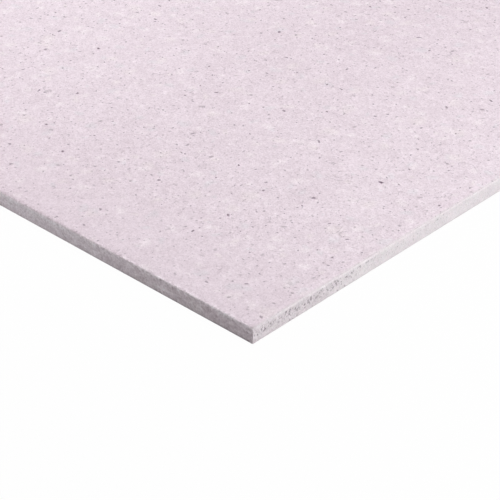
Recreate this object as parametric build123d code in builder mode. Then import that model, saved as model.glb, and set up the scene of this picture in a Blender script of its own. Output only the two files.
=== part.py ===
from build123d import *
import os

# A gypsum board: a cast core between two papers, lying on its back.
# X runs along the board, Y across it and Z up through it, from the middle of its underside.
# All sizes are in millimetres.

# The board
board_length = 2400.0
board_width = 1200.0
board_thickness = 12.5

# The papers
face_paper_thickness = 0.3
back_paper_thickness = 0.3

# The face paper's fold round each long edge, with radii over its outside
face_arris_radius = 1.2
back_arris_radius = 0.6
lap_width = 28.0

# Each side of the back paper stops this far short of the long edge
back_paper_setback = 8.0

# Just outside the back paper the lap steps in by that paper's thickness, so the back is flush.
# The radius is that of both bends of the step, through the middle of the face paper.
lap_step_gap = 0.5
lap_step_run = 1.5
lap_step_radius = 2.0

# Sizes that follow: half sizes across the board, and levels above the floor
half_width = board_width / 2
back_paper_half_width = half_width - back_paper_setback
lap_end = half_width - lap_width
step_inner = back_paper_half_width + lap_step_gap
step_outer = step_inner + lap_step_run

# The face paper's section is one open strip that follows a line through the middle of the paper
half_paper = face_paper_thickness / 2
edge_middle = half_width - half_paper
face_middle = board_thickness - half_paper
tucked_middle = back_paper_thickness + half_paper

# Half of that line, from the lap's end to the face: its corners, and the radii of its bends
half_fold = [
    (-lap_end, tucked_middle),
    (-step_inner, tucked_middle),
    (-step_outer, half_paper),
    (-edge_middle, half_paper),
    (-edge_middle, face_middle),
]
half_bends = [
    lap_step_radius,
    lap_step_radius,
    back_arris_radius - half_paper,
    face_arris_radius - half_paper,
]
fold = half_fold + [(-across, up) for across, up in reversed(half_fold)]
bends = half_bends + half_bends[::-1]

# Every section across the board is drawn at one cut end and runs to the other
section_plane = Plane.YZ.offset(-board_length / 2)

# The face paper covers the face, turns down both long edges and laps onto the back
with BuildPart() as face_paper:
    with BuildSketch(section_plane):
        with BuildLine():
            FilletPolyline(*fold, radius=bends)
        trace(line_width=face_paper_thickness)
    extrude(amount=board_length)

face_paper.part.label = "face_paper"

# The core fills the folded paper. It is drawn out to the middle of the paper, closed between
# the laps at the level of the back paper, and the paper's own section is taken off it.
with BuildPart() as gypsum_core:
    with BuildSketch(section_plane):
        with BuildLine():
            FilletPolyline(*fold, radius=bends)
            Polyline(
                fold[-1],
                (lap_end, back_paper_thickness),
                (-lap_end, back_paper_thickness),
                fold[0],
            )
        make_face()
        with BuildLine():
            FilletPolyline(*fold, radius=bends)
        trace(line_width=face_paper_thickness, mode=Mode.SUBTRACT)
    extrude(amount=board_length)

gypsum_core.part.label = "gypsum_core"

# The back paper lies flat over the laps and stops short of the long edges
with BuildPart() as back_paper:
    with BuildSketch(Plane.XY):
        Rectangle(board_length, 2 * back_paper_half_width)
    extrude(amount=back_paper_thickness)

back_paper.part.label = "back_paper"

os.makedirs("parts", exist_ok=True)
export_step(face_paper.part, "parts/face_paper.step")
export_step(gypsum_core.part, "parts/gypsum_core.step")
export_step(back_paper.part, "parts/back_paper.step")
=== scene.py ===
import math

import bpy
import numpy as np
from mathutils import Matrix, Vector


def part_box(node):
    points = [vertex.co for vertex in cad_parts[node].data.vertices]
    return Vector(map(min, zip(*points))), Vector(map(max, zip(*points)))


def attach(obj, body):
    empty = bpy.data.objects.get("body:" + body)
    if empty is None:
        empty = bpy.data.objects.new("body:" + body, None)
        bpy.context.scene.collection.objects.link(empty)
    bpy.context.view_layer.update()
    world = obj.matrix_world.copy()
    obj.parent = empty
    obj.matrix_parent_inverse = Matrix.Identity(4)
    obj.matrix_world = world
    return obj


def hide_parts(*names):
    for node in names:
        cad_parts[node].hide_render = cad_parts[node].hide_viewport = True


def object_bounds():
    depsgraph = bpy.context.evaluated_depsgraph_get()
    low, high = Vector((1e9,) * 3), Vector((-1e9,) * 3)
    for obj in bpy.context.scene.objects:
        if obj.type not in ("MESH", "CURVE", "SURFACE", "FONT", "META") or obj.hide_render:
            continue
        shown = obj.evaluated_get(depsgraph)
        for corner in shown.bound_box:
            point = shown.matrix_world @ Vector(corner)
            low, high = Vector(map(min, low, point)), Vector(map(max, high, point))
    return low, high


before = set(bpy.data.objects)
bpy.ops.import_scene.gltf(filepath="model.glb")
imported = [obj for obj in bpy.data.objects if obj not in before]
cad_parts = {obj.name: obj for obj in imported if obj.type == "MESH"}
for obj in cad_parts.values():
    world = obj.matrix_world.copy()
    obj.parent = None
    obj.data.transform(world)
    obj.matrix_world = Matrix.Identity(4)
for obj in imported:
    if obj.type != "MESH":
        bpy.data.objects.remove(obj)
cad_low, cad_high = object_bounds()


# Face paper
# One sheet of pale pink-lilac liner, pressed from recycled fibre, so that grey flecks and hairs
# show in it. It covers the face, is folded down both long edges and lapped onto the back, where
# it steps in under the back paper.
face_low, face_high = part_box("face_paper")
core_low, core_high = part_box("gypsum_core")
back_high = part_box("back_paper")[1]
paper_thickness = face_high.z - core_high.z
half_length = face_high.x
face_arris_radius = 0.0012
back_arris_radius = 0.0006
lap_width = 0.028
lap_step_gap = 0.0005
lap_step_run = 0.0015
lap_step_radius = 0.002

paper_colour = (0.780, 0.678, 0.738)
pale_fibre_colour = (0.844, 0.760, 0.802)
cream_fibre_colour = (0.815, 0.730, 0.760)
cool_fibre_colour = (0.748, 0.683, 0.731)
# Dust and painted light: the long edge is greyer and paler towards its top and where it is more
# worn.
dust_and_light_colour = (0.795, 0.752, 0.790)
# Painted shade along the foot of the long edge, where it meets the floor.
contact_shade_colour = (0.660, 0.570, 0.620)
aged_tint = (1.0, 1.001, 0.987)
pressed_tint = (0.998, 0.992, 0.995)
fleck_colour = (0.112, 0.048, 0.094)
pale_rim_colour = (0.848, 0.785, 0.808)
turned_colour = (0.775, 0.690, 0.731)
# Painted shade: the paper's cut rim down the long edges is as dark as the shaded long edge, though
# it faces the lit end.
upright_rim_shade_colour = (0.340, 0.300, 0.320)
lap_rim_colour = (0.740, 0.690, 0.710)


def smooth_step(value):
    """Runs from 0 to 1 with a level start and end, as three squares less two cubes."""
    held = np.clip(value, 0.0, 1.0)
    return held * held * (3.0 - 2.0 * held)


def ramp(value, start, end):
    """A smooth step from 0 at the start to 1 at the end, which may lie below the start."""
    return smooth_step((value - start) / (end - start))


def within(value, start, full, fading, gone):
    """A band of the value: 0 up to its start, 1 from full to fading, and 0 again once gone."""
    return ramp(value, start, full) * ramp(value, gone, fading)


def hills(across, along, seed):
    """Random heights from -1 to 1 at the whole numbers of both inputs, blended between them
    by a smooth step, so that the surface has soft hills about one unit wide."""
    across, along = np.broadcast_arrays(across, along)
    column, row = np.floor(across).astype(int), np.floor(along).astype(int)
    column_at, row_at = column - column.min(), row - row.min()
    heights = np.random.default_rng(seed).uniform(-1, 1, (column_at.max() + 2, row_at.max() + 2))
    u, v = smooth_step(across - column), smooth_step(along - row)
    low = heights[column_at, row_at] * (1 - u) + heights[column_at + 1, row_at] * u
    high = heights[column_at, row_at + 1] * (1 - u) + heights[column_at + 1, row_at + 1] * u
    return low * (1 - v) + high * v


def rounded_line(corners, radii, shares):
    """The line through the corners with each inner corner rounded, and the direction out to its
    right. A bend starts its radius times the tangent of half its turn before the corner, and its
    points are its centre plus its radius times the cosine and sine of an angle. The points of
    each straight run lie at its shares."""
    arc_step = 0.4
    corners = np.array(corners)
    steps = np.diff(corners, axis=0)
    heading = np.arctan2(steps[:, 1], steps[:, 0])
    turn = np.diff(heading)
    cut = np.concatenate([[0], radii * np.tan(np.abs(turn) / 2), [0]])
    line, out = [], []
    for at, (step, share) in enumerate(zip(steps, shares)):
        onward = np.array([math.cos(heading[at]), math.sin(heading[at])])
        right = np.array([onward[1], -onward[0]])
        start = corners[at] + cut[at] * onward
        length = math.hypot(*step) - cut[at] - cut[at + 1]
        line.append(start + length * np.outer(share, onward))
        out.append(np.tile(right, (len(share), 1)))
        if at < len(turn):
            side = math.copysign(radii[at], turn[at])
            centre = line[-1][-1] - side * right
            arc_count = 3 + int(abs(turn[at]) / arc_step)
            angle = heading[at] - math.pi / 2 + np.linspace(0, turn[at], arc_count)[1:-1]
            direction = np.stack([np.cos(angle), np.sin(angle)], -1)
            line.append(centre + side * direction)
            out.append(direction)
    return np.concatenate(line), np.concatenate(out)


def paper_section():
    """The line through the middle of the paper, from one lap's end round to the other, with the
    direction out of the board at each point."""
    half_paper = paper_thickness / 2
    tucked_level = back_high.z + half_paper
    step_inner = back_high.y + lap_step_gap
    half_corners = [
        (face_high.y - lap_width, tucked_level),
        (step_inner, tucked_level),
        (step_inner + lap_step_run, face_low.z + half_paper),
        (face_high.y - half_paper, face_low.z + half_paper),
        (face_high.y - half_paper, face_high.z - half_paper),
        (0.0, face_high.z - half_paper),
    ]
    half_radii = np.array([
        lap_step_radius, lap_step_radius,
        back_arris_radius - half_paper, face_arris_radius - half_paper,
    ])
    ends, edge = np.array([0.0, 1.0]), np.linspace(0, 1, 10)
    face = np.array([0.0, 0.002, 0.005, 0.012, 0.4, 1.0])
    half_line, half_out = rounded_line(half_corners, half_radii, (ends, ends, ends, edge, face))
    flip = np.array([-1.0, 1.0])
    line = np.concatenate([half_line, half_line[-2::-1] * flip])
    return line, np.concatenate([half_out, half_out[-2::-1] * flip])


def paper_stations():
    """Places along the board as distances from the left cut, close together at both cuts and
    rather close over the last stretch before the right one."""
    near_cut = np.array([0.0, 0.00005, 0.0004, 0.0009, 0.0015, 0.0024, 0.0036])
    cut_stretch, fine_stretch, fine_step, coarse_step = 0.006, 0.30, 0.0013, 0.0042
    length = 2 * half_length
    coarse = np.arange(cut_stretch, length - fine_stretch, coarse_step)
    fine = np.arange(length - fine_stretch, length - cut_stretch, fine_step)
    return np.concatenate([near_cut, coarse, fine, length - near_cut[::-1]])


def grid_quads(index):
    """The quads between neighbouring rows and columns of a grid of vertex numbers."""
    corners = index[:-1, :-1], index[:-1, 1:], index[1:, 1:], index[1:, :-1]
    return np.stack(corners, -1).reshape(-1, 4)


def make_mesh(name, points, quads, values):
    """A mesh object of those points and quads, shaded smooth up to sharp edges, with each
    of the values kept on its points."""
    sharp_degrees = 50
    mesh = bpy.data.meshes.new(name)
    mesh.from_pydata(points.tolist(), [], quads.tolist())
    for value_name, numbers in values.items():
        kind = "FLOAT" if numbers.ndim == 1 else "FLOAT_VECTOR"
        layer = mesh.attributes.new(value_name, kind, "POINT")
        layer.data.foreach_set("value" if numbers.ndim == 1 else "vector", numbers.ravel())
    mesh.shade_smooth()
    mesh.set_sharp_from_angle(angle=math.radians(sharp_degrees))
    piece = bpy.data.objects.new(name, mesh)
    bpy.context.scene.collection.objects.link(piece)
    return piece


def wear_corners(points):
    """Moves the points near each upper corner of the board in, down and back by the same amount,
    which fades out smoothly with their distance from the corner."""
    wear_depth, reach = 0.0008, 0.0042
    corner = np.array([half_length, face_high.y, face_high.z])
    away = np.linalg.norm(corner - np.abs(points), axis=-1, keepdims=True)
    return points - np.sign(points) * wear_depth * (1 - smooth_step(away / reach))


def paper_zones(line, outside, from_left):
    """How far each point lies on the wrapped long edge, along its upper arris and on the face,
    and how worn the edge is at each place along the board, which also places the long edge's
    painted light and shade, all from 0 to 1."""
    worn_stretch = 0.24
    in_from_edge, below_face = face_high.y - np.abs(line[:, 0]), face_high.z - outside[:, 1]
    on_edge = ramp(in_from_edge, 0.0050, 0.0010) * ramp(outside[:, 1], 0.0002, 0.0017)
    arris = ramp(in_from_edge, 0.0022, 0.0012) * ramp(below_face, 0.0030, 0.0018)
    on_face = ramp(face_high.z - line[:, 1], 0.0010, 0.0004)
    worn = hills((2 * half_length - from_left) / worn_stretch, np.sign(line[:, 0]), seed=32)
    return on_edge, arris, on_face, smooth_step(0.5 + 0.9 * worn)


def edge_dents(unrolled, from_left, from_cut, on_edge, arris, worn):
    """How far the outside is pushed in along the long edges: soft dents and finer ripples as
    their depths times random hills, with small nicks on the arris, all fading out at the cuts."""
    dent_depth, dent_length, dent_height = 0.00014, 0.011, 0.006
    ripple_depth, ripple_length, ripple_height = 0.00012, 0.0042, 0.0025
    nick_depth, nick_length, nick_height = 0.00022, 0.0031, 0.0026
    even_by_cut, deepest = 0.004, 0.8 * paper_thickness
    dents = 0.5 + 0.5 * hills(from_left / dent_length, unrolled / dent_height, seed=5)
    ripples = 0.5 + 0.5 * hills(from_left / ripple_length, unrolled / ripple_height, seed=6)
    nicks = np.maximum(hills(from_left / nick_length, unrolled / nick_height, seed=7), 0)
    inward = (dent_depth * dents**2 + ripple_depth * ripples) * on_edge * (1 - 0.6 * worn)
    inward = (inward + nick_depth * nicks * arris) * smooth_step(from_cut / even_by_cut)
    return np.minimum(inward, deepest)


def paper_marks(line, outside, from_cut, on_edge, arris, on_face, worn):
    """How strongly each mark shows on the paper, from 0 to 1, where the rubbed and painted shading
    may also fall below 0. Each is a strip along the edge, as a product of smooth steps and bands of
    how far a point lies in from the edge, below the face, above the floor or from the nearer cut.
    Several of them paint light and shade on the long edge: paler and darker bands by its arris, a
    paler lower part and shade along its foot."""
    side_width, arris_width = 0.0005, 0.0012
    in_from_edge, below_face = face_high.y - np.abs(line[:, 0]), face_high.z - outside[:, 1]
    on_side = in_from_edge < side_width
    near_cut = ramp(from_cut, 0.060, 0.030)

    # Painted light and shade around the long edge's arris: a paler top of the side where worn,
    # painted shade under the arris and a painted highlight on it near the cut. The face is darker
    # along its edge, most where worn and near the cut.
    painted_side_light = within(below_face, 0.0, 0.0005, 0.0015, 0.0040) * on_side
    painted_side_shade = within(below_face, 0.0010, 0.0020, 0.0040, 0.0070) * on_side
    painted_arris_highlight = within(below_face, 0.0, 0.0002, 0.0009, 0.0014) * (in_from_edge < arris_width)
    far_dark_face = ramp(in_from_edge, 0.0044, 0.0008) * ramp(below_face, 0.0012, 0.0002)
    dark_face = ramp(in_from_edge, 0.0070, 0.0025) * ramp(below_face, 0.0003, 0.0001)
    rub_and_painted_shading = worn * (far_dark_face - 0.55 * painted_side_light)
    rub_and_painted_shading = rub_and_painted_shading + near_cut * (0.40 * painted_side_shade + 0.27 * dark_face - 0.85 * painted_arris_highlight)

    # Pale fibre fuzz along the top of the long edge, partly painted light: the band is made paler
    # as if lit from above.
    fuzz_and_painted_light = within(below_face, 0.0001, 0.0007, 0.0008, 0.0019) * on_side
    # Dust and painted light on the upper long edge, stronger where it is more worn.
    dust_and_painted_light = 0.38 + 0.32 * ramp(face_high.z - line[:, 1], 0.0055, 0.0015)
    dust_and_painted_light = dust_and_painted_light * (1 - 0.7 * ramp(face_high.z - line[:, 1], 0.0017, 0.0007))
    foot_side = ramp(in_from_edge, 0.0016, 0.0004)
    return {
        "edge_strip": on_edge * (1 - 0.65 * worn),
        "fluffy": arris * (1 - 0.5 * worn) * ramp(from_cut, 0.001, 0.006),
        "fuzz_and_painted_light": fuzz_and_painted_light * (1 - 0.3 * near_cut),
        "dust_and_painted_light": dust_and_painted_light * worn * ramp(in_from_edge, 0.0009, 0.0003),
        "rub_and_painted_shading": rub_and_painted_shading,
        # Painted light: the lower part of the long edge is made paler, most where it is least worn.
        "painted_foot_light": ramp(outside[:, 1], 0.0060, 0.0015) * foot_side * (1 - 0.8 * worn),
        # Painted shade at the foot of the long edge, next to the floor.
        "contact_shade": ramp(outside[:, 1], 0.0010, 0.0004) * foot_side,
        "aged": on_edge * (1 - on_face) * (1 - 0.8 * worn),
        "turned": on_face * ramp(from_cut, 0.0020, 0.0004),
        "cut_rim": (from_cut == 0).astype(float),
        "on_face": on_face,
        "upright": ramp(outside[:, 1], 0.0004, 0.0010) * (1 - on_face),
    }


def make_face_paper():
    """The section's line, doubled by the paper's thickness into a closed loop, carried along
    the board. The outside has soft shallow dents down the long edges, and the paper turns down
    to the knife's bevel at both cuts, where its rim is a little ragged."""
    turn_length, turn_depth = 0.0013, 0.00030
    rim_inset, rag_length, rag_width = 0.00040, 0.0035, 0.0045
    line, out = paper_section()
    unrolled = np.concatenate([[0], np.cumsum(np.hypot(*np.diff(line, axis=0).T))])
    unrolled = unrolled - unrolled[-1] / 2
    outside = line + out * paper_thickness / 2
    inside = line - out * paper_thickness / 2
    from_left = paper_stations()[:, None]
    from_cut = np.minimum(from_left, 2 * half_length - from_left)
    on_edge, arris, on_face, worn = paper_zones(line, outside, from_left)

    inward = edge_dents(unrolled, from_left, from_cut, on_edge, arris, worn)
    turn = turn_depth * np.clip(1 - from_cut / turn_length, 0, 1) ** 2 * on_face
    inset = rim_inset * (0.6 + 0.4 * hills(unrolled / rag_width, 0.0, seed=8)) * on_face
    inset = inset * np.clip(1 - from_cut / rag_length, 0, 1)
    along = from_left - half_length + np.sign(half_length - from_left) * inset
    dented = outside - out * inward[..., None]
    loop = np.concatenate([dented, np.broadcast_to(inside[::-1], dented.shape)], 1)
    turn_loop = np.concatenate([turn, turn[:, ::-1]], 1)
    along_loop = np.concatenate([along, along[:, ::-1]], 1)
    points = wear_corners(np.stack([along_loop, loop[..., 0], loop[..., 1] - turn_loop], -1))

    rows, columns = points.shape[:2]
    index = np.arange(rows * columns).reshape(rows, columns)
    quads = grid_quads(np.concatenate([index, index[:, :1]], 1))
    strip = np.arange(columns // 2 - 1)
    cap = np.stack([strip, columns - 1 - strip, columns - 2 - strip, strip + 1], -1)
    far_cap = cap[:, ::-1] + (rows - 1) * columns
    flat = np.zeros(points.shape)
    flat[..., 0] = from_left - half_length
    flat[..., 1] = np.concatenate([unrolled, unrolled[::-1]])
    values = {"flat_place": flat.reshape(-1, 3)}
    marks = paper_marks(line, outside, from_cut, on_edge, arris, on_face, worn)
    for value_name, mark in marks.items():
        half_loop = np.broadcast_to(mark, (rows, columns // 2))
        values[value_name] = np.concatenate([half_loop, half_loop[:, ::-1]], 1).ravel()
    return make_mesh(
        "face_paper_folded", points.reshape(-1, 3), np.concatenate([quads, cap, far_cap]), values
    )


def put(tree, kind, settings=(), **inputs):
    """Adds a node to a tree, with its settings and with its inputs set or linked by name, or by
    number after an i. A colour is given as its red, green and blue."""
    made = tree.nodes.new("ShaderNode" + kind)
    for name, value in dict(settings).items():
        setattr(made, name, value)
    for name, value in inputs.items():
        words = name.replace("_", " ")
        socket = made.inputs[int(words[1:])] if words[1:].isdigit() else made.inputs[words]
        if isinstance(value, bpy.types.NodeSocket):
            tree.links.new(value, socket)
        elif socket.type == "RGBA":
            socket.default_value = (*value, 1.0)
        else:
            socket.default_value = value
    return made


def place_group(tree, group, **inputs):
    """Places a node group in a tree, with its inputs set or linked by name."""
    return put(tree, "Group", {"node_tree": group}, **inputs).outputs


def carried(tree, value_name, output="Fac"):
    """A value that the mesh keeps on its points."""
    return put(tree, "Attribute", {"attribute_name": value_name}).outputs[output]


def maths(tree, operation, *values):
    """A Math node on one to three values."""
    inputs = {f"i{at}": value for at, value in enumerate(values)}
    return put(tree, "Math", {"operation": operation}, **inputs).outputs[0]


def add_up(tree, start, terms):
    """A start plus the sum of values times their weights."""
    total = start
    for value, weight in terms:
        total = maths(tree, "MULTIPLY_ADD", value, weight, total)
    return total


def between(tree, value, low, high, to_low=0.0, to_high=1.0):
    """A smooth step of a value from low to high."""
    made = put(
        tree, "MapRange", {"interpolation_type": "SMOOTHSTEP"},
        Value=value, From_Min=low, From_Max=high, To_Min=to_low, To_Max=to_high,
    )
    return made.outputs["Result"]


def mixed(tree, share, first, second, blend="MIX"):
    """A colour mix by a share from 0 to 1."""
    settings = {"data_type": "RGBA", "blend_type": blend}
    return put(tree, "Mix", settings, i0=share, i6=first, i7=second).outputs[2]


def vector_maths(tree, operation, first, second):
    """A Vector Math node on two places."""
    return put(tree, "VectorMath", {"operation": operation}, i0=first, i1=second).outputs[0]


def moved(tree, place, offset):
    """A place moved by an offset, so that the same pattern falls differently."""
    return vector_maths(tree, "ADD", place, offset)


def noise_of(tree, dimensions, place, width, **inputs):
    """Noise at a place, with hills about as wide as the width."""
    scale = maths(tree, "DIVIDE", 1.0, width)
    settings = {"noise_dimensions": dimensions}
    return put(tree, "TexNoise", settings, Vector=place, Scale=scale, **inputs).outputs


def shaded(tree, colour, tone, weights=(1.0, 1.0, 1.0)):
    """A colour multiplied by a tone, whose distance from 1 is weighted for red, green and blue."""
    red, green, blue = (maths(tree, "MULTIPLY_ADD", tone, part, 1.0 - part) for part in weights)
    weighted = put(tree, "CombineXYZ", X=red, Y=green, Z=blue).outputs[0]
    return mixed(tree, 1.0, colour, weighted, "MULTIPLY")


def new_group(name, inputs, outputs):
    """An empty node group with named inputs, as (name, kind, default), and outputs."""
    group = bpy.data.node_groups.new(name, "ShaderNodeTree")
    for socket_name, kind, default in inputs:
        socket = group.interface.new_socket(
            socket_name, in_out="INPUT", socket_type="NodeSocket" + kind
        )
        if default is not None:
            socket.default_value = default
    for socket_name, kind in outputs:
        group.interface.new_socket(
            socket_name, in_out="OUTPUT", socket_type="NodeSocket" + kind
        )
    start, end = group.nodes.new("NodeGroupInput"), group.nodes.new("NodeGroupOutput")
    return group, start.outputs, end.inputs


def new_material(name, roughness, gloss):
    """A material with a Principled shader, whose tree and shader inputs are returned."""
    material = bpy.data.materials.new(name)
    material.use_nodes = True
    tree = material.node_tree
    shader = tree.nodes["Principled BSDF"].inputs
    shader["Roughness"].default_value = roughness
    shader["Specular IOR Level"].default_value = gloss
    return material, tree, shader


def make_flecks():
    """Flecks strewn over a flat place. Each cell of a random pattern has one chance of a fleck:
    an ellipse turned by a random angle, bent a little by slow noise, with a ragged outline."""
    tree, given, result = new_group(
        "flecks",
        (
            ("Place", "Vector", None), ("Spacing", "Float", 0.01), ("Length", "Float", 0.2),
            ("Slimness", "Float", 0.4), ("Share", "Float", 0.5), ("Bend", "Float", 0.1),
            ("Blur", "Float", 0.5),
        ),
        (("Fleck", "Float"), ("Chance", "Float")),
    )
    scale = maths(tree, "DIVIDE", 1.0, given["Spacing"])
    at = put(
        tree, "VectorMath", {"operation": "SCALE"}, Vector=given["Place"], Scale=scale
    ).outputs[0]
    slow = put(tree, "TexNoise", {"noise_dimensions": "2D"}, Vector=at, Scale=2.4, Detail=1.0)
    centred = vector_maths(tree, "SUBTRACT", slow.outputs["Color"], (0.5, 0.5, 0.5))
    push = put(tree, "VectorMath", {"operation": "SCALE"}, Vector=centred, Scale=given["Bend"])
    bent = vector_maths(tree, "ADD", at, push.outputs[0])
    cell = put(tree, "TexVoronoi", {"voronoi_dimensions": "2D"}, Vector=bent, Scale=1.0)
    offset = vector_maths(tree, "SUBTRACT", bent, cell.outputs["Position"])
    luck = put(tree, "SeparateColor", Color=cell.outputs["Color"]).outputs
    angle = maths(tree, "MULTIPLY", luck[0], math.tau)
    turned = put(tree, "VectorRotate", {"rotation_type": "Z_AXIS"}, Vector=offset, Angle=angle)
    share_of_length = maths(tree, "MULTIPLY_ADD", luck[1], 0.75, 0.25)
    length = maths(tree, "MULTIPLY", share_of_length, given["Length"])
    width = maths(tree, "MULTIPLY", length, given["Slimness"])
    size = put(tree, "CombineXYZ", X=length, Y=width, Z=1.0)
    part = vector_maths(tree, "DIVIDE", turned.outputs[0], size.outputs[0])
    far = put(tree, "VectorMath", {"operation": "LENGTH"}, i0=part).outputs["Value"]
    ragged = put(tree, "TexNoise", {"noise_dimensions": "2D"}, Vector=at, Scale=14.0, Detail=2.0)
    far = maths(tree, "ADD", far, maths(tree, "MULTIPLY_ADD", ragged.outputs[0], 1.1, -0.55))
    inside = between(
        tree, far, maths(tree, "SUBTRACT", 1.0, given["Blur"]),
        maths(tree, "ADD", 1.0, given["Blur"]), 1.0, 0.0,
    )
    chance = put(
        tree, "TexWhiteNoise", {"noise_dimensions": "2D"}, Vector=cell.outputs["Position"]
    ).outputs["Value"]
    present = maths(tree, "LESS_THAN", luck[2], given["Share"])
    tree.links.new(maths(tree, "MULTIPLY", inside, present), result["Fleck"])
    tree.links.new(chance, result["Chance"])
    return tree


def make_clouding():
    """Soft clouds of one width, around nought."""
    tree, given, result = new_group(
        "clouding",
        (("Place", "Vector", None), ("Width", "Float", 0.01), ("Detail", "Float", 0.0)),
        (("Tone", "Float"),),
    )
    noise = noise_of(
        tree, "3D", given["Place"], given["Width"], Detail=given["Detail"], Roughness=0.6
    )
    tree.links.new(maths(tree, "MULTIPLY_ADD", noise[0], 2.0, -1.0), result["Tone"])
    return tree


def make_fibre_felt():
    """Felted fibre, around nought: three noises, each drawn out along its own direction."""
    tree, given, result = new_group(
        "fibre_felt",
        (("Place", "Vector", None), ("Width", "Float", 0.001)),
        (("Tone", "Float"),),
    )
    total = None
    for angle, stretch in ((0.4, 0.35), (-0.7, 0.35), (1.5, 0.45)):
        laid = put(
            tree, "VectorRotate", {"rotation_type": "Z_AXIS"}, Vector=given["Place"], Angle=angle
        )
        drawn = vector_maths(tree, "MULTIPLY", laid.outputs[0], (stretch, 1.0, 1.0))
        noise = noise_of(
            tree, "2D", drawn, given["Width"], Detail=1.0, Roughness=0.6, Distortion=0.7
        )
        tone = maths(tree, "MULTIPLY_ADD", noise[0], 1.2, -0.6)
        total = tone if total is None else maths(tree, "ADD", total, tone)
    tree.links.new(total, result["Tone"])
    return tree


def make_tinting():
    """A near-white colour that drifts by its strength between pink and green, and in its blue,
    to be multiplied with another."""
    tree, given, result = new_group(
        "tinting",
        (("Place", "Vector", None), ("Width", "Float", 0.004), ("Strength", "Float", 0.01)),
        (("Tint", "Color"),),
    )
    noise = noise_of(tree, "3D", given["Place"], given["Width"], Detail=1.0, Roughness=0.6)
    drift = put(tree, "SeparateColor", Color=noise["Color"]).outputs
    twice = maths(tree, "MULTIPLY", given["Strength"], 2.0)
    rose = maths(tree, "MULTIPLY", maths(tree, "SUBTRACT", drift[1], 0.5), twice)
    blue = maths(tree, "MULTIPLY", maths(tree, "SUBTRACT", drift[2], 0.5), twice)
    tint = put(
        tree, "CombineColor", Red=maths(tree, "ADD", 1.0, rose),
        Green=maths(tree, "SUBTRACT", 1.0, rose), Blue=maths(tree, "ADD", 1.0, blue),
    )
    tree.links.new(tint.outputs[0], result["Tint"])
    return tree


flecks, clouding = make_flecks(), make_clouding()
fibre_felt, tinting = make_fibre_felt(), make_tinting()


def make_hairs():
    """Bent hairs: the middle level lines of a noise, thinned to the stretches that cross a
    strewn patch."""
    tree, given, result = new_group(
        "hairs",
        (
            ("Place", "Vector", None), ("Curl", "Float", 0.01), ("Thickness", "Float", 0.0003),
            ("Spacing", "Float", 0.02), ("Share", "Float", 0.5),
        ),
        (("Hair", "Float"),),
    )
    noise = noise_of(tree, "2D", given["Place"], given["Curl"], Detail=1.0)
    off = maths(tree, "ABSOLUTE", maths(tree, "SUBTRACT", noise[0], 0.5))
    off = maths(tree, "MULTIPLY", off, given["Curl"])
    line = between(tree, off, 0.0, given["Thickness"], 1.0, 0.0)
    patch = place_group(
        tree, flecks, Place=given["Place"], Spacing=given["Spacing"], Length=0.40, Slimness=0.6,
        Share=given["Share"], Bend=0.2, Blur=0.3,
    )
    tree.links.new(maths(tree, "MULTIPLY", line, patch["Fleck"]), result["Hair"])
    return tree


hairs = make_hairs()


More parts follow.
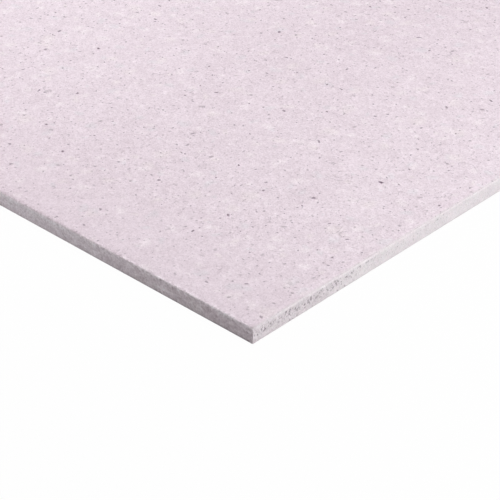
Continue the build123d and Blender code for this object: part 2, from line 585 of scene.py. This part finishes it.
def make_face_paper_material():
    """Pale pink-lilac paper: felted fibre in clouds of several widths, pale, cream and cool
    patches of fibre, dark flecks of four sizes and a few dark and many pale hairs."""
    material, tree, shader = new_material("face_liner", 0.9, 0.15)
    flat = carried(tree, "flat_place", "Vector")
    edge, upright = carried(tree, "edge_strip"), carried(tree, "upright")
    spot = put(tree, "TexCoord").outputs["Object"]
    across = maths(tree, "ABSOLUTE", put(tree, "SeparateXYZ", Vector=spot).outputs[1])
    pressed = between(tree, across, face_high.y - 0.095, face_high.y - 0.035)

    felt = [
        (place_group(tree, fibre_felt, Place=flat, Width=width)["Tone"], weight)
        for width, weight in ((0.0009, 0.245), (0.0021, 0.128), (0.0045, 0.064))
    ]
    clouds = [
        (place_group(tree, clouding, Place=flat, Width=width)["Tone"], weight)
        for width, weight in ((0.010, 0.042), (0.022, 0.030), (0.045, 0.023))
    ]
    contrast = maths(tree, "MULTIPLY_ADD", pressed, -0.21, 1.005)
    grain = maths(tree, "MULTIPLY", add_up(tree, 0.0, felt + clouds), contrast)
    aside = moved(tree, flat, (-1.59, 3.14, 0.0))
    broad = place_group(tree, clouding, Place=aside, Width=0.26)["Tone"]
    # Wear and painted light and shade around the long edge's arris, as changes of tone.
    rub_and_painted_shading, painted_foot_light = carried(tree, "rub_and_painted_shading"), carried(tree, "painted_foot_light")
    tone = maths(tree, "ADD", grain, 1.0)
    # Painted light on the lower long edge, as a paler tone.
    tone = add_up(tree, tone, ((broad, 0.063), (rub_and_painted_shading, -0.15), (painted_foot_light, 0.055)))
    drawn = vector_maths(tree, "MULTIPLY", flat, (0.6, 1.0, 1.0))
    scuff = place_group(tree, clouding, Place=drawn, Width=0.0042, Detail=2.0)["Tone"]
    stain = place_group(tree, clouding, Place=drawn, Width=0.014, Detail=1.0)["Tone"]
    pale_scuff = maths(tree, "MAXIMUM", scuff, 0.0)
    rub = add_up(tree, 0.035, ((scuff, 0.39), (pale_scuff, 0.21), (stain, 0.17)))
    tone = maths(tree, "MULTIPLY_ADD", rub, edge, tone)
    mottle = place_group(tree, clouding, Place=flat, Width=0.0019, Detail=1.0)["Tone"]
    tone = maths(tree, "MULTIPLY_ADD", maths(tree, "MULTIPLY", mottle, upright), 0.285, tone)
    fluff = place_group(tree, clouding, Place=flat, Width=0.0024, Detail=1.0)["Tone"]
    fluff = maths(tree, "MULTIPLY", fluff, carried(tree, "fluffy"))
    tone = maths(tree, "MULTIPLY_ADD", fluff, 0.50, tone)

    swell = place_group(tree, clouding, Place=flat, Width=0.012, Detail=3.0)["Tone"]
    pale = between(tree, add_up(tree, swell, ((felt[2][0], 0.35),)), 0.12, 0.55)
    colour = mixed(tree, maths(tree, "MULTIPLY", pale, 0.55), paper_colour, pale_fibre_colour)
    for offset, spacing, length, share, patch_colour, strength in (
        ((0.31, 0.17, 0.0), 0.030, 0.18, 0.85, cool_fibre_colour, 0.8),
        ((0.53, 0.71, 0.0), 0.036, 0.20, 0.80, cream_fibre_colour, 0.7),
        ((0.17, 0.93, 0.0), 0.024, 0.24, 0.60, pale_fibre_colour, 0.8),
    ):
        strewn = place_group(
            tree, flecks, Place=moved(tree, flat, offset), Spacing=spacing, Length=length,
            Slimness=0.75, Share=share, Bend=0.3, Blur=0.75,
        )
        patch = maths(tree, "MULTIPLY", strewn["Fleck"], strength)
        colour = mixed(tree, patch, colour, patch_colour)
    # Dust and painted light on the upper long edge.
    colour = mixed(tree, carried(tree, "dust_and_painted_light"), colour, dust_and_light_colour)
    # Painted shade along the foot of the long edge.
    colour = mixed(tree, carried(tree, "contact_shade"), colour, contact_shade_colour)
    colour = mixed(tree, carried(tree, "turned"), colour, turned_colour)
    colour = mixed(tree, carried(tree, "aged"), colour, aged_tint, "MULTIPLY")
    by_edge = between(tree, across, face_high.y - 0.17, face_high.y - 0.02)
    by_edge = maths(tree, "MULTIPLY", by_edge, maths(tree, "SUBTRACT", 1.0, upright))
    colour = mixed(tree, by_edge, colour, pressed_tint, "MULTIPLY")
    # Pale tufts of fluff on the arris, and the fuzz band below it, which is partly painted light.
    tuft = maths(tree, "MULTIPLY", between(tree, fluff, 0.10, 0.40), 0.7)
    fuzz_and_painted_light = maths(tree, "MULTIPLY", carried(tree, "fuzz_and_painted_light"), 0.85)
    colour = mixed(tree, maths(tree, "MAXIMUM", tuft, fuzz_and_painted_light), colour, pale_fibre_colour)

    pale_hair = place_group(
        tree, hairs, Place=moved(tree, flat, (0.23, 0.41, 0.0)), Curl=0.009, Thickness=0.00045,
        Spacing=0.010, Share=0.7,
    )["Hair"]
    tone = maths(tree, "MULTIPLY_ADD", pale_hair, 0.07, tone)
    colour = shaded(tree, colour, tone, (0.90, 1.06, 1.0))

    dark = place_group(
        tree, hairs, Place=flat, Curl=0.016, Thickness=0.00035, Spacing=0.030, Share=0.30
    )["Hair"]
    dark = maths(tree, "MULTIPLY", dark, maths(tree, "MULTIPLY_ADD", upright, -0.28, 0.28))
    for spacing, length, slimness, share, low, high in (
        (0.0190, 0.090, 0.68, 0.75, 0.30, 0.90),
        (0.0085, 0.124, 0.72, 0.72, 0.10, 0.78),
        (0.0050, 0.160, 0.78, 0.80, 0.08, 0.58),
        (0.0030, 0.220, 0.78, 0.58, 0.03, 0.34),
    ):
        strewn = place_group(
            tree, flecks, Place=flat, Spacing=spacing, Length=length, Slimness=slimness,
            Share=share, Bend=0.25, Blur=0.5,
        )
        depth = maths(tree, "MULTIPLY", strewn["Chance"], strewn["Chance"])
        depth = maths(tree, "MULTIPLY_ADD", depth, high - low, low)
        dark = maths(tree, "MAXIMUM", dark, maths(tree, "MULTIPLY", strewn["Fleck"], depth))
    for place, change, start in ((edge, -0.55, 1.0), (pressed, -0.30, 1.09), (upright, -0.55, 1.0)):
        dark = maths(tree, "MULTIPLY", dark, maths(tree, "MULTIPLY_ADD", place, change, start))
    colour = mixed(tree, dark, colour, fleck_colour)
    # Painted shade on the paper's cut rim where it runs down the long edge.
    rim_colour = mixed(tree, upright, lap_rim_colour, upright_rim_shade_colour)
    rim_colour = mixed(tree, carried(tree, "on_face"), rim_colour, pale_rim_colour)
    colour = mixed(tree, carried(tree, "cut_rim"), colour, rim_colour)
    tree.links.new(colour, shader["Base Color"])
    height = maths(tree, "MULTIPLY_ADD", fluff, 16.0, felt[0][0])
    bump = put(tree, "Bump", Strength=0.4, Distance=0.0001, Height=height)
    tree.links.new(bump.outputs[0], shader["Normal"])
    return material


face_paper = make_face_paper()
face_paper.data.materials.append(make_face_paper_material())
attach(face_paper, "root")
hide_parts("face_paper")


# Gypsum core
# The core is gypsum foamed with small air bubbles, cast between the papers and cut to length.
# Each cut was scored with a knife through the face paper and then snapped: a pale bevel under the
# face, a torn band with open bubbles below it, and smoother gypsum down to the back.
core_colour = (0.822, 0.769, 0.795)
knife_colour = (0.911, 0.849, 0.874)
torn_colour = (0.752, 0.686, 0.721)
# Painted shade for the open bubbles and pits, which are hollows in the same pale gypsum.
bubble_shade_colour = (0.252, 0.196, 0.232)
shade_colour = (0.340, 0.300, 0.320)


def core_columns():
    """Places across the board, close together near the corners and wider apart between them,
    with two at each lap's end, where the core steps down to the back paper."""
    corner_stretch, fine_step, coarse_step, lap_step = 0.15, 0.00045, 0.00076, 0.0001
    arris_stretch, arris_steps = 0.0009, np.array([0.00004, 0.00015, 0.0003, 0.0006])
    inner, outer = core_high.y - corner_stretch, core_high.y
    middle = np.linspace(-inner, inner, round(2 * inner / coarse_step))
    corner = np.linspace(inner, outer - arris_stretch, round(corner_stretch / fine_step))[1:]
    lap_end = face_high.y - lap_width
    steps = np.array([lap_end - lap_step, lap_end])
    half = np.concatenate([corner, outer - arris_steps, [outer], steps])
    return np.unique(np.concatenate([middle, half, -half]))


def core_levels(across):
    """The lowest and highest level of the core at each place across the board: flat, with a
    quarter circle at each arris, a ramp where the lap steps in, and lower between the laps."""
    rounding = 1e-6
    side = np.abs(across)
    top_radius = face_arris_radius - paper_thickness
    low_radius = back_arris_radius - paper_thickness
    top_in = np.clip(side - (core_high.y - top_radius), 0, top_radius)
    low_in = np.clip(side - (core_high.y - low_radius), 0, low_radius)
    high = core_high.z - top_radius + np.sqrt(top_radius**2 - top_in**2)
    step_outer = back_high.y + lap_step_gap + lap_step_run
    lap_level = paper_thickness + back_high.z * np.clip((step_outer - side) / lap_step_run, 0, 1)
    low = lap_level + low_radius - np.sqrt(low_radius**2 - low_in**2)
    between_laps = side < face_high.y - lap_width - rounding
    return np.where(between_laps, core_low.z, low), high


def roughness_along(across, near_corner, seed):
    """How torn the cut is, from 0 to 1: torn for the first stretch from one corner, a little
    pitted for a longer one, and past that in soft patches."""
    torn_end, torn_gone, pitted_end, pitted_gone = 0.064, 0.120, 0.20, 0.22
    patch_start, patch_full, patch_width = 0.25, 0.35, 0.075
    from_corner = np.abs(across - near_corner)
    torn = 0.86 * ramp(from_corner, torn_gone, torn_end)
    torn = torn + 0.09 * ramp(from_corner, pitted_gone, pitted_end)
    patches = smooth_step(hills(across / patch_width, 0.0, seed) * 1.4 - 0.35) * 0.8
    return np.maximum(torn, patches * ramp(from_corner, patch_start, patch_full))


def strewn_bubbles(near_corner, seed):
    """The bubbles that the torn band cuts open, strewn by chance where the cut is torn: their
    places across the board and levels, their radii, and the turns of their long axes."""
    count, mean_level, level_spread, margin = 1500, 0.0066, 0.0019, 0.001
    least_radius, radius_spread, most_radius, clear_of_corner = 0.00036, 0.00010, 0.0008, 0.006
    rng = np.random.default_rng(seed + 11689)
    across = rng.uniform(core_low.y + margin, core_high.y - margin, count)
    level = rng.normal(mean_level, level_spread, count)
    chance = rng.uniform(0, 1, count)
    turn = rng.uniform(0, math.pi, count)
    torn = roughness_along(across, near_corner, seed + 2)
    radius = least_radius + rng.gamma(2.0, radius_spread, count)
    radius = np.minimum(radius * (0.7 + 0.3 * torn), most_radius)
    from_corner = np.abs(across - near_corner)
    lowest = 0.0048 - 0.0018 * ramp(from_corner, 0.020, 0.050)
    highest = 0.0084 + 0.0006 * ramp(from_corner, 0.055, 0.075)
    keep = (chance < 0.76 * torn**0.8) & (from_corner > clear_of_corner)
    keep = keep & (level > lowest) & (level < highest)
    return np.stack([across, level, radius, turn], -1)[keep]


def strings_of_bubbles(near_corner, seed):
    """Short strings of small bubbles just under the torn band's upper side, which begin a little
    way from the torn corner, as rows of the same four numbers as the strewn ones."""
    count, mean_level, level_spread, margin = 500, 0.0091, 0.0004, 0.001
    least_radius, radius_spread, string_length = 0.00028, 0.00007, 0.022
    rng = np.random.default_rng(seed + 2368)
    across = rng.uniform(core_low.y + margin, core_high.y - margin, count)
    strung = smooth_step(1.7 * hills(across / string_length, 0.0, seed + 5003) - 0.25)
    strung = strung * ramp(np.abs(across - near_corner), 0.06, 0.07)
    keep = rng.uniform(0, 1, count) < 0.5 * strung
    level = rng.normal(mean_level, level_spread, count)
    radius = least_radius + rng.gamma(2.0, radius_spread, count)
    turn = rng.uniform(0, math.pi, count)
    return np.stack([across, level, radius, turn], -1)[keep]


def carve_bubbles(across, level, depth, bubbles):
    """Deepens the cut by each bubble, a bowl half as long again as it is wide, whose depth is a
    share of its radius times one less its distance squared. Returns how far in a bubble each
    point lies, from 0 to 1."""
    stretch, depth_share, reach = 1.5, 1.1, 2.5
    open_bubble = np.zeros_like(depth)
    for centre_across, centre_level, radius, turn in bubbles:
        near = np.abs(across[0] - centre_across) < reach * radius
        over, up = across[:, near] - centre_across, level[:, near] - centre_level
        lengthwise = (over * math.cos(turn) + up * math.sin(turn)) / stretch
        crosswise = over * math.sin(turn) - up * math.cos(turn)
        bowl = np.clip(1 - (np.hypot(lengthwise, crosswise) / radius) ** 2, 0, 1)
        depth[:, near] = np.maximum(depth[:, near], depth_share * radius * bowl)
        open_bubble[:, near] = np.maximum(open_bubble[:, near], smooth_step(bowl * 1.6))
    return open_bubble


def cut_relief(across, level, near_corner, seed):
    """How far the cut lies behind the plane of the end, with how open, knife-cut, torn, pitted
    and shaded by the folded paper it is. The knife's bevel falls away to the face in a straight
    line, and the torn band below it has soft lumps and open bubbles."""
    bevel_height, bevel_depth, knife_end = 0.0024, 0.00055, 0.00144
    torn_high, torn_low, torn_fade = 0.0100, 0.0032, 0.0016
    rag_height, rag_width, sway_height, sway_width = 0.00035, 0.0035, 0.00045, 0.032
    wander_height, wander_width = 0.0010, 0.012
    even_depth, lump_depth, swell_depth = 0.00012, 0.0008, 0.00012
    from_corner = np.abs(across - near_corner)
    rough = roughness_along(across, near_corner, seed + 2)
    ragged = rag_height * hills(across / rag_width, 0.0, seed + 1)
    ragged = ragged + sway_height * hills(across / sway_width, 0.0, seed + 7)
    below_face = core_high.z - level + ragged
    knife = ramp(below_face, bevel_height, knife_end)
    knife = knife * (0.15 + 0.85 * ramp(from_corner, 0.012, 0.032))
    bevel = bevel_depth * np.clip(1 - below_face / bevel_height, 0, 1)
    wandered = level - wander_height * hills(across / wander_width, 0.0, seed + 3)
    band = within(wandered, torn_low, torn_low + torn_fade, torn_high - torn_fade, torn_high)
    lumps = 0.12 * hills(across / 0.0026, level / 0.0019, seed + 4)
    lumps = lumps + 0.14 * hills(across / 0.0013, level / 0.0012, seed + 5)
    swell = np.maximum(hills(across / 0.006, level / 0.004, seed + 6), 0)
    depth = lump_depth * rough * (0.3 + 0.7 * band) * np.maximum(lumps + 0.12, 0)
    depth = depth + even_depth + swell_depth * swell
    bubbles = [strewn_bubbles(near_corner, seed), strings_of_bubbles(near_corner, seed)]
    open_bubble = carve_bubbles(across, level, depth, np.concatenate(bubbles))

    low_pits = ramp(level, 0.0034, 0.0022) * ramp(from_corner, 0.012, 0.032)
    edge_shade = ramp(core_high.y - np.abs(across), 0.0008, 0.0004)
    edge_shade = edge_shade * ramp(core_high.z - level, 0.0020, 0.0045)
    return depth + bevel, {
        "open_bubble": open_bubble,
        "knife_cut": knife,
        "torn": rough**2 * (1 - knife) * (0.8 + 0.2 * band),
        "pitted": np.sqrt(rough) * (1 - knife) * (0.26 + 0.74 * band + 0.34 * low_pits),
        "edge_shade": edge_shade * ramp(level, 0.0012, 0.0047),
    }


def make_core():
    """Two cut ends, each a grid over the section with its upper corners worn, joined along the
    board through a plain ring of the section a little behind each cut."""
    across, row_count, ring_set_back = core_columns(), 23, 0.006
    low, high = core_levels(across)
    level = low + np.linspace(0, 1, row_count)[:, None] * (high - low)
    across_grid = np.broadcast_to(across, level.shape)
    index = np.arange(level.size).reshape(level.shape)
    ring = np.concatenate([index[0, :-1], index[:-1, -1], index[-1, :0:-1], index[:0:-1, 0]])
    points, shown, quads, rings = [], [], [], []
    for side, near_corner, seed in ((1, core_low.y, 11), (-1, core_high.y, 47)):
        depth, marks = cut_relief(across_grid, level, near_corner, seed)
        first = sum(len(part) for part in points)
        cut = wear_corners(np.stack([side * (half_length - depth), across_grid, level], -1))
        plain_along = np.full(len(ring), side * (half_length - ring_set_back))
        plain = np.stack([plain_along, across_grid.ravel()[ring], level.ravel()[ring]], -1)
        points += [cut.reshape(-1, 3), plain]
        shown.append({name: np.append(mark, np.zeros(len(ring))) for name, mark in marks.items()})
        quads.append(grid_quads(first + index)[:, ::side])
        rings += [first + ring, first + level.size + np.arange(len(ring))][::side]
    for near, far in zip(rings, rings[1:]):
        quads.append(np.stack([near, far, np.roll(far, -1), np.roll(near, -1)], -1))
    values = {name: np.concatenate([end[name] for end in shown]) for name in shown[0]}
    return make_mesh("gypsum_core_cut", np.concatenate(points), np.concatenate(quads), values)


def make_core_material():
    """Pale gypsum with a little of the paper's pink, with painted shade in its open bubbles and
    pits, darker in the torn band, paler where the knife pressed it, with fine grain in its colour
    and its surface."""
    material, tree, shader = new_material("cut_gypsum", 0.95, 0.15)
    spot = put(tree, "TexCoord").outputs["Object"]
    part = put(tree, "SeparateXYZ", Vector=spot).outputs
    flat = put(tree, "CombineXYZ", X=part[1], Y=part[2], Z=0.0).outputs[0]
    grain, crumbs, cloud = (
        place_group(tree, clouding, Place=spot, Width=width, Detail=detail)["Tone"]
        for width, detail in ((0.0010, 1.0), (0.0028, 1.0), (0.009, 2.0))
    )
    torn, pitted = carried(tree, "torn"), carried(tree, "pitted")
    tone = add_up(tree, 1.0, ((grain, 0.20), (crumbs, 0.08), (cloud, 0.07)))
    tone = maths(tree, "MULTIPLY_ADD", torn, maths(tree, "MULTIPLY", crumbs, 0.14), tone)
    colour = mixed(tree, torn, core_colour, torn_colour)
    colour = mixed(tree, carried(tree, "knife_cut"), colour, knife_colour)
    shade = maths(tree, "MULTIPLY", carried(tree, "edge_shade"), 0.9)
    colour = mixed(tree, shade, colour, shade_colour)
    for width, strength in ((0.0016, 0.020), (0.009, 0.014)):
        tint = place_group(tree, tinting, Place=spot, Width=width, Strength=strength)["Tint"]
        colour = mixed(tree, 1.0, colour, tint, "MULTIPLY")
    pore = place_group(
        tree, flecks, Place=flat, Spacing=0.0019, Length=0.33, Slimness=0.7, Share=0.55,
        Bend=0.1, Blur=0.5,
    )
    fine = maths(tree, "MULTIPLY", pore["Fleck"], maths(tree, "MULTIPLY_ADD", pitted, 0.55, 0.20))
    fine = maths(tree, "MULTIPLY", fine, pore["Chance"])
    pit = place_group(
        tree, flecks, Place=moved(tree, flat, (0.37, 0.61, 0.0)), Spacing=0.0036, Length=0.30,
        Slimness=0.75, Share=0.75, Bend=0.1, Blur=0.35,
    )
    pit_share = maths(tree, "MAXIMUM", between(tree, pitted, 0.02, 0.75), 0.14)
    pit_depth = maths(tree, "MULTIPLY_ADD", pit["Chance"], 0.65, 0.20)
    open_pit = maths(tree, "MULTIPLY", maths(tree, "MULTIPLY", pit["Fleck"], pit_share), pit_depth)
    # Painted shade in the open bubbles, pores and pits.
    bubble = maths(tree, "MULTIPLY", carried(tree, "open_bubble"), 0.70)
    dark = maths(tree, "MAXIMUM", bubble, fine)
    dark = maths(tree, "MAXIMUM", dark, open_pit)
    colour = mixed(tree, dark, colour, bubble_shade_colour)
    colour = shaded(tree, colour, tone, (0.95, 1.02, 1.0))
    tree.links.new(colour, shader["Base Color"])
    height = maths(tree, "SUBTRACT", grain, maths(tree, "MULTIPLY", pore["Fleck"], 1.5))
    bump = put(tree, "Bump", Strength=0.6, Distance=0.0002, Height=height)
    tree.links.new(bump.outputs[0], shader["Normal"])
    return material


core = make_core()
core.data.materials.append(make_core_material())
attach(core, "root")
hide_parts("gypsum_core")


# Back paper
# A plain grey liner of undyed recycled fibre, glued flat over the laps of the face paper.
# It lies flush with the two folds, and its cut edges at the ends of the board are pale.
back_colour = (0.46, 0.43, 0.39)
back_rim_colour = (0.74, 0.69, 0.70)
back_fleck_colour = (0.12, 0.11, 0.10)


def make_back_paper_material():
    """Grey undyed paper with coarse clouds, fine fibre and dark flecks, and pale cut edges."""
    material, tree, shader = new_material("back_liner", 0.9, 0.15)
    spot = put(tree, "TexCoord").outputs["Object"]
    along = put(tree, "SeparateXYZ", Vector=spot).outputs[0]
    felt = place_group(tree, fibre_felt, Place=spot, Width=0.0014)["Tone"]
    broad_felt = place_group(tree, fibre_felt, Place=spot, Width=0.005)["Tone"]
    cloud = place_group(tree, clouding, Place=spot, Width=0.020, Detail=3.0)["Tone"]
    tone = add_up(tree, 1.0, ((felt, 0.16), (broad_felt, 0.10), (cloud, 0.10)))
    strewn = place_group(
        tree, flecks, Place=spot, Spacing=0.007, Length=0.18, Slimness=0.3, Share=0.6, Bend=0.3,
        Blur=0.5,
    )
    dark = maths(tree, "MULTIPLY", strewn["Fleck"], maths(tree, "MULTIPLY", strewn["Chance"], 0.5))
    colour = mixed(tree, dark, shaded(tree, back_colour, tone), back_fleck_colour)
    from_cut = maths(tree, "SUBTRACT", half_length, maths(tree, "ABSOLUTE", along))
    rim = between(tree, from_cut, 0.0, 0.0006, 1.0, 0.0)
    colour = mixed(tree, rim, colour, back_rim_colour)
    tree.links.new(colour, shader["Base Color"])
    bump = put(tree, "Bump", Strength=0.4, Distance=0.0001, Height=felt)
    tree.links.new(bump.outputs[0], shader["Normal"])
    return material


back_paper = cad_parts["back_paper"]
back_paper.data.materials.clear()
back_paper.data.materials.append(make_back_paper_material())


# Floor
# A wide pale floor. What the camera and any gloss see of it is nearly all plain white, with a
# little of its lit surface mixed in, which keeps the board's soft shadow.
floor_colour = (0.72, 0.72, 0.72)
floor_half_width = 60.0
floor_lit_share = 0.022


def seen_plainly(tree):
    """1 for rays from the camera, in gloss or through glass, and 0 for all other light."""
    path = put(tree, "LightPath").outputs
    straight = maths(tree, "MAXIMUM", path["Is Camera Ray"], path["Is Glossy Ray"])
    return maths(tree, "MAXIMUM", straight, path["Is Transmission Ray"])


def make_floor():
    """A flat square at the level that the board rests on."""
    corners = np.array([(-1, -1), (1, -1), (1, 1), (-1, 1)]) * floor_half_width
    points = np.column_stack([corners, np.full(4, cad_low.z)])
    floor = make_mesh("floor", points, np.array([[0, 1, 2, 3]]), {})
    material, tree, shader = new_material("pale_floor", 0.9, 0.0)
    shader["Base Color"].default_value = (*floor_colour, 1.0)
    plain = put(tree, "Emission", Color=(1.0, 1.0, 1.0), Strength=1.0)
    share = maths(tree, "MULTIPLY", seen_plainly(tree), 1.0 - floor_lit_share)
    lit = tree.nodes["Principled BSDF"].outputs[0]
    both = put(tree, "MixShader", i0=share, i1=lit, i2=plain.outputs[0])
    tree.links.new(both.outputs[0], tree.nodes["Material Output"].inputs["Surface"])
    floor.data.materials.append(material)


make_floor()


# Studio light
# A white room, two long softboxes over and behind the board, one beyond each end and a weak one in
# front, which together light the face at about the level of its own colour.
room_strength = 0.06


def light_room():
    """Plain white for what the camera sees, and a weaker white for the light it gives."""
    world = bpy.data.worlds.new("white_room")
    bpy.context.scene.world = world
    world.use_nodes = True
    tree = world.node_tree
    tree.nodes.clear()
    given = put(tree, "Background", Color=(1.0, 1.0, 1.0), Strength=room_strength)
    plain = put(tree, "Background", Color=(1.0, 1.0, 1.0), Strength=1.0)
    both = put(
        tree, "MixShader", i0=seen_plainly(tree), i1=given.outputs[0], i2=plain.outputs[0]
    )
    end = tree.nodes.new("ShaderNodeOutputWorld")
    tree.links.new(both.outputs[0], end.inputs["Surface"])


def add_softbox(name, place, target, size, power):
    """A rectangular lamp at a place, facing a target, hidden from the camera."""
    data = bpy.data.lights.new(name, "AREA")
    data.shape = "RECTANGLE"
    data.size, data.size_y = size
    data.energy = power
    lamp = bpy.data.objects.new(name, data)
    bpy.context.scene.collection.objects.link(lamp)
    lamp.location = place
    towards = Vector(target) - Vector(place)
    lamp.rotation_euler = towards.to_track_quat("-Z", "Y").to_euler()
    lamp.visible_camera = False


light_room()
add_softbox("softbox_over", (0.0, -0.3, 1.2), (0.0, -0.29, 0.0), (4.6, 0.6), 26.5)
add_softbox("softbox_behind", (0.0, 1.0, 0.8), (0.0, 0.0, 0.0), (4.6, 0.6), 15.1)
add_softbox("softbox_right", (2.3, -0.3, 0.3), (1.2, -0.5, 0.0), (0.8, 0.8), 7.6)
add_softbox("softbox_left", (-2.4, 0.2, 0.9), (-1.0, 0.0, 0.0), (0.9, 0.9), 8.1)
add_softbox("softbox_front", (0.5, -1.1, 0.25), (0.3, -0.6, 0.0), (0.8, 0.3), 1.9)


# Camera
# It looks down on the near corner from in front and to the right, as in the photograph, through
# a long lens. The corner's lowest point lands on its pixel of the photograph.
view_azimuth = math.radians(43.34)
view_elevation = math.radians(32.13)
lens_mm, sensor_mm, image_pixels = 108.9, 36.0, 500
corner_distance = 0.9774
corner_pixel = (252.3, 344.45)


def add_camera():
    """Stands back from the near corner along the ray through the corner's pixel, which is the
    view direction, plus the right and up directions times the pixel's offset over the focal
    length."""
    look = Vector((
        -math.sin(view_azimuth) * math.cos(view_elevation),
        math.cos(view_azimuth) * math.cos(view_elevation),
        -math.sin(view_elevation),
    ))
    right = Vector((math.cos(view_azimuth), math.sin(view_azimuth), 0.0))
    up = right.cross(look)
    focal_pixels = lens_mm / sensor_mm * image_pixels
    across = (corner_pixel[0] - image_pixels / 2) / focal_pixels
    down = (corner_pixel[1] - image_pixels / 2) / focal_pixels
    corner = Vector((cad_high.x, cad_low.y, cad_low.z))
    data = bpy.data.cameras.new("camera")
    data.lens, data.sensor_width = lens_mm, sensor_mm
    data.clip_start, data.clip_end = 0.01, 200.0
    camera = bpy.data.objects.new("camera", data)
    bpy.context.scene.collection.objects.link(camera)
    camera.location = corner - corner_distance * (look + across * right - down * up)
    camera.rotation_euler = look.to_track_quat("-Z", "Y").to_euler()
    bpy.context.scene.camera = camera


add_camera()
bpy.context.scene.view_settings.view_transform = "Standard"
